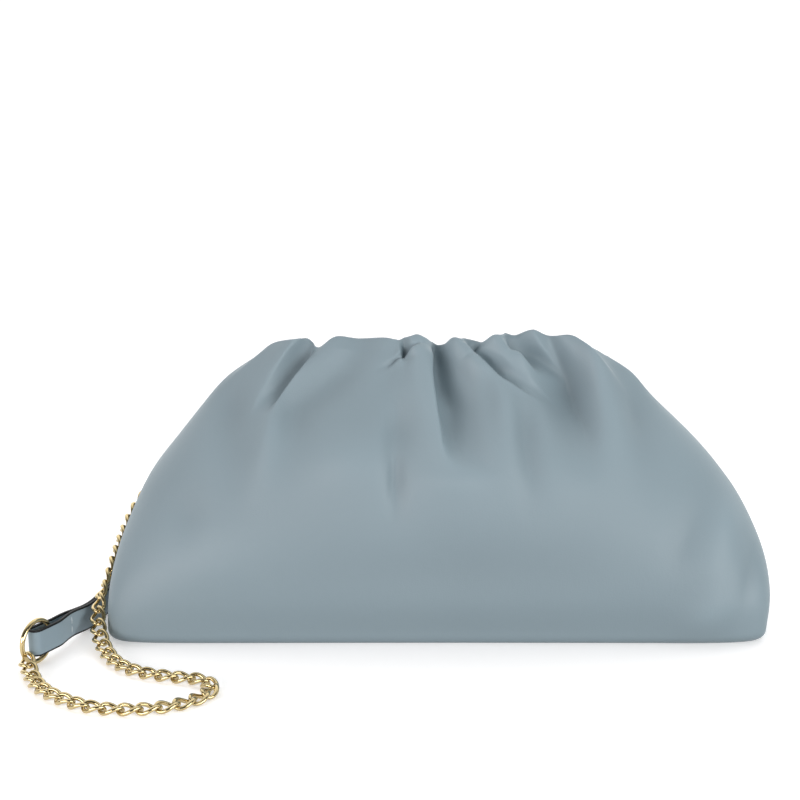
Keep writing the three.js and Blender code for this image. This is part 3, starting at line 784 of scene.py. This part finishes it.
def painted_shade_marks(relief):
    """How deep in a fold each point of a wall is, from 0 on its ridges to 1 in its pockets: the painted
    shade's mask.
    """
    around = np.pad(relief, 1, mode="edge")
    for _ in range(RELIEF_SMOOTHINGS):
        for axis in (0, 1):
            around = (np.roll(around, 1, axis) + 2 * around + np.roll(around, -1, axis)) / 4
            around = np.pad(around[1:-1, 1:-1], 1, mode="edge")
    return np.clip(RELIEF_LEVEL + (around[1:-1, 1:-1] - relief) / RELIEF_DEPTH, 0, 1)


def outer_wall(wall):
    """Rows of points on the outside of a wall, the directions out of it, their heights and relief."""
    even = np.linspace(0, 1, wall.grid.columns + 1)
    shares = (1 - SEAM_CROWDING) * even + SEAM_CROWDING * (1 - np.cos(math.pi * even)) / 2
    levels = RIM_LEVEL * (1 - (1 - np.linspace(0, 1, wall.grid.rows)) ** ROW_CROWDING)
    angles = np.linspace(0, math.pi / 2, ROLL_ROWS, endpoint=False)
    sections = [roll_section(angle) for angle in angles]
    sections += [Section(*row) for row in eased(SECTIONS, levels)]
    plain, ways = plain_wall(sections, wall.side, shares)
    normals = outward(plain, wall.side)
    normals[0] = np.negative(UP)

    x, height = plain[..., 0], plain[..., 2]
    calm = 1 - np.abs(2 * shares - 1) ** SEAM_CALM
    pushed, slide = lip_offset(wall.lips, x, height)
    relief = calm * (pushed + fold_offset(wall.folds, wall.dents, x, height))

    # The roll at the foot follows the wall's push sideways, and its first row stays at the base
    push = normals.copy()
    push[:ROLL_ROWS] = normals[ROLL_ROWS] * np.sin(angles)[:, None, None]
    groove = 1 - np.sqrt(1 - np.clip(1 - ways / SEAM_ROLL, 0, 1) ** 2)
    outer = plain + push * relief[..., None] - normals * (SEAM_ROLL * groove)[..., None]
    outer[..., 0] += calm * slide
    for swelling in SHOULDERS:
        near_seam = np.clip(swelling.side * (2 * shares - 1), 0, 1) ** SHOULDER_BREADTH
        swollen = swelling.out * np.exp(-((height - swelling.height) / swelling.reach) ** 2)
        outer[..., 0] += swelling.side * near_seam * swollen
    row_levels = np.concatenate([np.zeros(ROLL_ROWS), levels])
    near_rim = smoothstep(row_levels, RIM_LEVEL - RIM_LEVELS, RIM_LEVEL)
    rim_height = np.interp(outer[-1, :, 0], *smooth_line(wall.rim).T)
    outer[..., 2] += near_rim[:, None] * calm * (rim_height - outer[-1, :, 2])
    return outer, normals, height, relief


def leather_sheet(wall, thickness, hem):
    """One wall's points as a sheet, and marks that say how deep in a fold each point is: the mask of the
    painted shade in the folds and the painted light on the ridges.

    The sheet goes up the wall's outside, over the rolled rim and down its inside to the start.
    """
    outer, normals, height, relief = outer_wall(wall)
    hemmed = smoothstep(height, height[-1] - HEM_DEPTH, height[-1])
    thick = (thickness + (hem - thickness) * hemmed)[..., None]
    inner = outer - normals * thick
    up = unit(outer[-1] - outer[-2])
    middle = (outer[-1] + inner[-1]) / 2
    turns = np.linspace(0, math.pi, RIM_ROLL_ROWS + 2)[1:-1, None, None]
    rim = middle + thick[-1] / 2 * (np.cos(turns) * normals[-1] + np.sin(turns) * up)
    inside = np.linspace(len(inner) - 1, 0, INNER_ROWS).round().astype(int)
    sheet = np.concatenate([outer, rim, inner[inside], outer[:1]])

    # Each wall stays on its own side of the seams
    sheet[..., 1] = wall.side * np.maximum(wall.side * sheet[..., 1], SEAM_GAP)
    # Marks for the painted shade in the folds and the painted light on the ridges
    depth = painted_shade_marks(relief)
    rim_depth = np.repeat(depth[-1:], RIM_ROLL_ROWS, axis=0)
    return sheet, np.concatenate([depth, rim_depth, depth[inside], depth[:1]])


def leather_wall(name, node, wall):
    """Makes one gathered wall of the bag as a closed piece, napped inside below its turned-in edge."""
    settings = bpy.context.scene.pouch_leather
    sheet, marks = leather_sheet(wall, settings.wall / MM, settings.hem / MM)
    bm = bmesh.new()
    # The fold attribute carries the mask of the painted shade in the folds and the painted light on the
    # ridges
    layer = bm.verts.layers.float.new("fold")
    for vert, mark in zip(add_sheet(bm, sheet), marks.ravel()):
        vert[layer] = mark
    bm.faces.ensure_lookup_table()
    first_inner = (ROLL_ROWS + wall.grid.rows + RIM_ROLL_ROWS + TURNED_IN_ROWS) * wall.grid.columns
    for face in bm.faces[first_inner:]:
        face.material_index = 1
    bmesh.ops.remove_doubles(bm, verts=bm.verts, dist=WELD)
    bmesh.ops.holes_fill(bm, edges=[edge for edge in bm.edges if edge.is_boundary], sides=0)
    face_side = shared_material(
        "smooth_calf_leather", leather_material, tuple(settings.face), settings.grain,
    )
    flesh_side = shared_material("napped_leather_flesh_side", flesh_material, tuple(settings.flesh))
    return finish_piece(name, bm, (face_side, flesh_side), (node,))


def on_leather(place):
    """A point on the plain form of a wall, and the direction out of the leather there."""
    levels = np.array([place.level - SURFACE_STEP, place.level, place.level + SURFACE_STEP])
    sections = [Section(*row) for row in eased(SECTIONS, levels)]
    shares = np.linspace(0, 1, ROUTE_COLUMNS + 1)
    points, _ = plain_wall(sections, place.side, shares)
    normals = outward(points, place.side)
    share = (place.along + 1) / 2
    return along_line(points[1], shares, share), unit(along_line(normals[1], shares, share))


def round_section(diameter, sides):
    """Points of a round wire's section."""
    turn = np.linspace(0, 2 * math.pi, sides, endpoint=False)
    return diameter / 2 * np.stack([np.cos(turn), np.sin(turn)], axis=-1)


def mouth_ring(side):
    """The ring through the back wall at one end of the mouth."""
    point, normal = on_leather(OnLeather(BACK, side * MOUTH_RING_ALONG, MOUTH_RING_LEVEL))
    sideways = unit(np.cross(UP, normal))
    return PlacedRing(point, normal, sideways, point + MOUTH_RING.radius * normal, -side * sideways)


def strap_ring(place):
    """The upright ring at an end of the strap."""
    out = unit(np.array([place.away_x, place.away_y, 0.0]))
    up = np.array(UP)
    middle = np.array([place.x, place.y, STRAP_RING.radius + STRAP_RING.wire / 2])
    angle = math.radians(place.hook)
    hook = middle + STRAP_RING.radius * (math.sin(angle) * out - math.cos(angle) * up)
    return PlacedRing(middle, out, up, hook, math.cos(angle) * out + math.sin(angle) * up)


def ring_piece(name, node, size, ring):
    """Makes one closed round ring."""
    turn = np.linspace(0, 2 * math.pi, RING_STEPS, endpoint=False)[:, None]
    outs = np.cos(turn) * ring.out + np.sin(turn) * ring.up
    axis = np.broadcast_to(np.cross(ring.out, ring.up), outs.shape)
    bm = bmesh.new()
    add_tube(bm, ring.middle + size.radius * outs, outs, axis, round_section(size.wire, RING_SIDES))
    return finish_piece(name, bm, (gold(),), (node,))


def smooth_line(points):
    """A smooth line through points, in equal steps from point to point. Neighbours may be alike."""
    points = np.asarray(points, float)
    padded = np.vstack([2 * points[0] - points[1], points, 2 * points[-1] - points[-2]])
    p = (np.arange(ROUTE_STEPS) / ROUTE_STEPS)[:, None]
    spans = []
    for a, b, c, d in zip(padded, padded[1:], padded[2:], padded[3:]):
        ab, bc, cd = (math.sqrt(np.linalg.norm(q - r)) for q, r in ((b, a), (c, b), (d, c)))
        bc = bc or 1
        ab, cd = ab or bc, cd or bc
        leave = bc * ((b - a) / ab - (c - a) / (ab + bc) + (c - b) / bc)
        arrive = bc * ((c - b) / bc - (d - b) / (bc + cd) + (d - c) / cd)
        bend = 3 * (c - b) - 2 * leave - arrive
        spans.append(b + leave * p + bend * p ** 2 + (2 * (b - c) + leave + arrive) * p ** 3)
    return np.vstack([*spans, points[-1:]])


def link_places(mouth, over_leather, hanging, on_floor, ring):
    """Middle, along and facing of each link of a chain, from a mouth ring to a strap ring."""
    stops = [(mouth.hook, mouth.facing)]
    for place in over_leather:
        point, normal = on_leather(place)
        stops.append((point + CHAIN_CLEARANCE * normal, normal))
    stops += [((free.x, free.y, free.z), (free.face_x, free.face_y, free.face_z)) for free in hanging]
    stops += [((x, y, CHAIN_LIE), UP) for x, y in on_floor]
    stops.append((ring.hook, ring.facing))
    line = smooth_line([point for point, _ in stops])
    facings = smooth_line([facing for _, facing in stops])
    reached = distances(line)
    whole = reached[-1]
    start, end = (
        (LINK_LENGTH - LINK_PITCH - HOOKED_WIRE - wire) / 2 - HOOK_GAP
        for wire in (MOUTH_RING.wire, STRAP_RING.wire)
    )
    count = round((whole - start - end) / LINK_PITCH)
    places = np.linspace(start, whole - end, count + 1)
    joints = along_line(line, reached, places)
    joints[0] += unit(line[1] - line[0]) * start
    joints[-1] -= unit(line[-1] - line[-2]) * end
    along = unit(np.diff(joints, axis=0))
    face = along_line(facings, reached, (places[1:] + places[:-1]) / 2)
    face = unit(face - along * np.sum(face * along, axis=1, keepdims=True))
    return list(zip((joints[1:] + joints[:-1]) / 2, along, face))


def add_link(bm, middle, along, face):
    """Adds one curb link: an oval of round wire, twisted about its length and worn at its ends."""
    angle = np.linspace(0, 2 * math.pi, LINK_STEPS, endpoint=False)
    twist = LINK_TWIST * np.cos(angle)
    ahead = LINK_LENGTH / 2 * np.cos(angle)
    across = LINK_WIDTH / 2 * np.sin(angle)
    axes = np.stack([along, np.cross(face, along), face])
    line = middle + np.stack([ahead, across * np.cos(twist), across * np.sin(twist)], axis=-1) @ axes
    tangent = unit(np.roll(line, -1, axis=0) - np.roll(line, 1, axis=0))
    outs = line - middle
    outs = unit(outs - tangent * np.sum(outs * tangent, axis=1, keepdims=True))
    wire = LINK_WIRE - (LINK_WIRE - HOOKED_WIRE) * np.cos(angle)[:, None] ** 2
    add_tube(bm, line, wire * outs, wire * np.cross(tangent, outs), round_section(1, WIRE_SIDES))


def chain_piece(name, node, places):
    """Makes one link, or a run of links, as one piece."""
    bm = bmesh.new()
    for place in places:
        add_link(bm, *place)
    return finish_piece(name, bm, (gold(),), (node,))


def chain_runs(name, places):
    """Makes a stretch of chain in runs of links."""
    for number, first in enumerate(range(0, len(places), RUN_LINKS), 1):
        label = f"{name}_{number:02d}"
        chain_piece(f"{label}_links", label, places[first:first + RUN_LINKS])


def strap_line(left, right, layer):
    """The strap's middle line in plan, its distance from the nearer end and its tangents."""
    reaches = (STRAP_REACH, -STRAP_STRAIGHT / 2, -STRAP_STRAIGHT)
    ends = [[(ring.middle + reach * ring.out)[:2] for reach in reaches] for ring in (left, right)]
    stops = [*ends[0], *STRAP_ROUTE, *ends[1][::-1]]
    dense = eased(stops, np.linspace(0, len(stops) - 1, ROUTE_STEPS * len(stops)))
    reached = distances(dense)
    shares = (1 - np.cos(np.linspace(0, math.pi, STRAP_STEPS + 1))) / 2
    way = layer / 2 + (reached[-1] - layer) * shares
    line = along_line(dense, reached, way)
    tangent = unit(along_line(np.gradient(dense, axis=0), reached, way))
    return line, np.minimum(way, reached[-1] - way), tangent


def strap_spread(from_end, layer):
    """How far the middle of a layer lies from the strap's middle line, at a distance from its end."""
    opened = (STRAP_SLOT + layer) / 2
    distance = np.maximum(from_end - layer / 2, 0)
    rounded = np.sqrt(opened ** 2 - np.maximum(opened - distance, 0) ** 2)
    closed = smoothstep(from_end, *STRAP_LOOP_CLOSING)
    return rounded + ((layer + STRAP_LAYER_GAP) / 2 - rounded) * closed


def strap_lift(points, rings, width):
    """How far the strap is raised towards its rings, at points in plan."""
    reach = np.min([np.linalg.norm(points - ring.middle[:2], axis=1) for ring in rings], axis=0)
    return (rings[0].middle[2] - width / 2) * (1 - smoothstep(reach, *STRAP_LIFT_REACH))


def strap_section(thickness, height):
    """Points of a layer's section with rounded corners, and which of its sides carry the edge paint."""
    turn = np.linspace(0, math.pi / 2, STRAP_CORNER_STEPS + 1)
    points = []
    for quarter, (right, top) in enumerate(((1, 1), (-1, 1), (-1, -1), (1, -1))):
        middle = np.array([right * (thickness / 2 - STRAP_CORNER), top * (height / 2 - STRAP_CORNER)])
        angle = turn + quarter * math.pi / 2
        corner = middle + STRAP_CORNER * np.stack([np.cos(angle), np.sin(angle)], axis=-1)
        face_end = middle + [right * STRAP_CORNER, -top * STRAP_PAINT]
        points += [face_end, *corner] if right == top else [*corner, face_end]
    points = np.array(points)
    middles = (points + np.roll(points, -1, axis=0)) / 2
    return points, np.abs(middles[:, 1]) > height / 2 - STRAP_CORNER - STRAP_PAINT


def add_stitch(bm, middle, along, out):
    """Adds one stitch: a short fat thread, pointed at both ends where it goes into the leather."""
    turn = np.linspace(0, math.pi, STITCH_ROWS + 1)[:, None, None]
    around = np.linspace(0, 2 * math.pi, STITCH_SIDES + 1)[None, :, None]
    up = np.cross(along, out)
    thick = STITCH_WIDTH / 2 * np.sin(turn)
    points = middle + STITCH_LENGTH / 2 * np.cos(turn) * along
    points = points + thick * (np.cos(around) * out + np.sin(around) * up)
    add_sheet(bm, points)


def strap_band(line, from_end, tangent, rings, width, layer):
    """The strap's two layers as one closed band round both rings, with its painted edges marked."""
    spread = strap_spread(from_end, layer)[:, None]
    outside = np.stack([tangent[:, 1], -tangent[:, 0]], axis=-1)
    loop = np.concatenate([(line + spread * outside)[:-1], (line - spread * outside)[:0:-1]])
    lift = strap_lift(loop, rings, width)
    heading = unit(np.roll(loop, -1, axis=0) - np.roll(loop, 1, axis=0))
    outs = np.column_stack([heading[:, 1], -heading[:, 0], np.zeros(len(loop))])
    section, painted = strap_section(layer, width)
    bm = bmesh.new()
    middles = np.column_stack([loop, lift + width / 2])
    add_tube(bm, middles, outs, np.broadcast_to(UP, outs.shape), section)
    for face, paint in zip(bm.faces, np.repeat(painted, len(loop))):
        face.material_index = int(paint)
    return bm


def bar_tacks(line, from_end, tangent, rings, width, layer):
    """The short upright stitches on both sides of the strap that sew down its turned-back ends."""
    spread = strap_spread(from_end, layer) + layer / 2
    lift = strap_lift(line, rings, width)
    bm = bmesh.new()
    first = np.argmax(from_end >= BAR_TACK_AT)
    for at in (first, -1 - first):
        for side in (LEFT, RIGHT):
            out = side * np.array([tangent[at, 1], -tangent[at, 0], 0])
            for height in BAR_TACK_HEIGHTS:
                middle = np.array([*line[at], lift[at] + width / 2 + height]) + spread[at] * out
                add_stitch(bm, middle, np.array(UP), out)
    return bm


def add_floor(stage):
    """Adds the light table that the bag stands on."""
    bm = bmesh.new()
    bmesh.ops.create_grid(bm, x_segments=2, y_segments=2, size=FLOOR_HALF)
    mesh = bpy.data.meshes.new("floor")
    bm.to_mesh(mesh)
    bm.free()
    opal = light_table_material("opal_acrylic_light_table", tuple(stage.floor), stage.glow)
    mesh.materials.append(opal)
    floor = bpy.data.objects.new("floor", mesh)
    bpy.context.scene.collection.objects.link(floor)
    floor.visible_diffuse = False


def soft_light(name, kind, place, target, power, **shape):
    """Adds a wide soft light that points at a target."""
    light = bpy.data.lights.new(name, kind)
    light.energy = power
    for setting, value in shape.items():
        setattr(light, setting, value)
    lamp = bpy.data.objects.new(name, light)
    lamp.location = place
    lamp.rotation_euler = (Vector(target) - Vector(place)).to_track_quat("-Z", "Y").to_euler()
    bpy.context.scene.collection.objects.link(lamp)
    return lamp


def add_lights(stage):
    """Adds the soft sun behind the bag and the strips in front of it."""
    strip = {"shape": "ELLIPSE", "size": STRIP_WIDTH, "size_y": STRIP_HEIGHT}
    soft_light("rear_light", "SUN", REAR_PLACE, (0, 0, 0), stage.rear, angle=REAR_ANGLE)
    soft_light("key_light", "AREA", KEY_PLACE, LIT_POINT, stage.key, color=srgb(KEY_TONE), **strip)
    soft_light("fill_light", "AREA", FILL_PLACE, LIT_POINT, stage.fill, **strip)


def add_room(stage):
    """Adds the room, white behind the bag and dim in front of it. The camera sees it white all round."""
    world = bpy.data.worlds.new("studio")
    world.use_nodes = True
    tree = world.node_tree
    tree.nodes.clear()
    place = add_node(tree, "ShaderNodeTexCoord")
    way = add_node(tree, "ShaderNodeSeparateXYZ", {"Vector": place.outputs["Generated"]})
    room = add_node(
        tree, "ShaderNodeMapRange",
        {"Value": way.outputs["Y"], "From Min": ROOM_TURN[0], "From Max": ROOM_TURN[1],
         "To Min": stage.near, "To Max": stage.far},
    )
    ray = add_node(tree, "ShaderNodeLightPath")
    strength = add_node(
        tree, "ShaderNodeMix",
        {0: ray.outputs["Is Camera Ray"], 2: room.outputs["Result"], 3: stage.far},
    )
    sky = add_node(
        tree, "ShaderNodeBackground", {"Color": rgba((1, 1, 1)), "Strength": strength.outputs[0]},
    )
    add_node(tree, "ShaderNodeOutputWorld", {"Surface": sky.outputs["Background"]})
    bpy.context.scene.world = world


def add_camera(stage):
    """Adds the camera at the photograph's viewing angle."""
    lens = bpy.data.cameras.new("camera")
    lens.lens = stage.lens
    lens.sensor_width = SENSOR_WIDTH
    camera = bpy.data.objects.new("camera", lens)
    camera.location = Vector(CAMERA_PLACE) * MM
    camera.rotation_euler = (math.radians(90 - CAMERA_PITCH), 0, 0)
    bpy.context.scene.collection.objects.link(camera)
    bpy.context.scene.camera = camera


class POUCH_OT_stage(bpy.types.Operator):
    """Makes the white floor, the soft light and the camera"""

    bl_idname = "pouch.stage"
    bl_label = "Stage"

    def execute(self, context):
        stage = context.scene.pouch_stage
        add_floor(stage)
        add_lights(stage)
        add_room(stage)
        add_camera(stage)
        context.scene.view_settings.view_transform = "Standard"
        return {"FINISHED"}


class POUCH_OT_leather(bpy.types.Operator):
    """Makes the two gathered walls and dresses the flat base"""

    bl_idname = "pouch.leather"
    bl_label = "Leather walls and base"

    def execute(self, context):
        leather_wall("front_leather", "front_panel", FRONT_WALL)
        leather_wall("back_leather", "back_panel", BACK_WALL)
        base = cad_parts["base_panel"]
        base.data.materials.clear()
        base.data.materials.append(bpy.data.materials["smooth_calf_leather"])
        return {"FINISHED"}


class POUCH_OT_rings(bpy.types.Operator):
    """Makes the rings at the mouth and at the ends of the strap"""

    bl_idname = "pouch.rings"
    bl_label = "Rings"

    def execute(self, context):
        for name, side in (("mouth_ring_left", LEFT), ("mouth_ring_right", RIGHT)):
            ring_piece(f"{name}_round", name, MOUTH_RING, mouth_ring(side))
        for name, place in (("strap_ring_left", LEFT_RING), ("strap_ring_right", RIGHT_RING)):
            ring_piece(f"{name}_round", name, STRAP_RING, strap_ring(place))
        return {"FINISHED"}


class POUCH_OT_chain(bpy.types.Operator):
    """Makes the curb links of both chains"""

    bl_idname = "pouch.chain"
    bl_label = "Chain"

    def execute(self, context):
        left = link_places(
            mouth_ring(LEFT), LEFT_OVER_LEATHER, LEFT_HANGING, LEFT_ON_FLOOR, strap_ring(LEFT_RING),
        )
        chain_runs("chain_left_run", left[:HIDDEN_LINKS])
        for number, place in enumerate(left[HIDDEN_LINKS:], 1):
            chain_piece(f"link_{number:02d}_curb", f"link_{number:02d}", [place])
        right = link_places(
            mouth_ring(RIGHT), RIGHT_OVER_LEATHER, RIGHT_HANGING, RIGHT_ON_FLOOR, strap_ring(RIGHT_RING),
        )
        chain_runs("chain_right_run", right)
        return {"FINISHED"}


class POUCH_OT_strap(bpy.types.Operator):
    """Makes the leather strap, turned back round a ring at each end, and its stitching"""

    bl_idname = "pouch.strap"
    bl_label = "Leather strap"

    def execute(self, context):
        settings = context.scene.pouch_strap
        width, layer = settings.width / MM, settings.layer / MM
        rings = strap_ring(LEFT_RING), strap_ring(RIGHT_RING)
        course = strap_line(*rings, layer)
        face_side = leather_material("smooth_strap_leather", tuple(settings.face), settings.grain)
        paint = edge_paint_material("dark_edge_paint", tuple(settings.edge))
        thread = thread_material("bonded_thread", tuple(settings.thread))
        band = strap_band(*course, rings, width, layer)
        finish_piece("strap_leather", band, (face_side, paint), ("strap",))
        stitches = bar_tacks(*course, rings, width, layer)
        finish_piece("strap_bar_tacks", stitches, (thread,), ())
        return {"FINISHED"}


class POUCH_PT_panel(bpy.types.Panel):
    """Lists the bag's sizes, colours and pieces"""

    bl_idname = "POUCH_PT_panel"
    bl_label = "Pouch Bag"
    bl_space_type = "VIEW_3D"
    bl_region_type = "UI"
    bl_category = "Pouch Bag"

    def draw(self, context):
        for name in SETTINGS:
            settings = getattr(context.scene, name)
            for field in settings.bl_rna.properties:
                if field.identifier not in ("name", "rna_type"):
                    self.layout.prop(settings, field.identifier)
        for operator in OPERATORS:
            self.layout.operator(operator.bl_idname)


SETTINGS = {
    "pouch_leather": PouchLeather,
    "pouch_strap": PouchStrap,
    "pouch_metal": PouchMetal,
    "pouch_stage": PouchStage,
}
OPERATORS = (POUCH_OT_stage, POUCH_OT_leather, POUCH_OT_rings, POUCH_OT_chain, POUCH_OT_strap)


def register():
    for cls in (*SETTINGS.values(), *OPERATORS, POUCH_PT_panel):
        bpy.utils.register_class(cls)
    for name, cls in SETTINGS.items():
        setattr(bpy.types.Scene, name, PointerProperty(type=cls))


def unregister():
    for name in SETTINGS:
        delattr(bpy.types.Scene, name)
    for cls in reversed((*SETTINGS.values(), *OPERATORS, POUCH_PT_panel)):
        bpy.utils.unregister_class(cls)


def main():
    register()
    bpy.ops.pouch.stage()
    bpy.ops.pouch.leather()
    bpy.ops.pouch.rings()
    bpy.ops.pouch.chain()
    bpy.ops.pouch.strap()


if __name__ == "__main__":
    main()
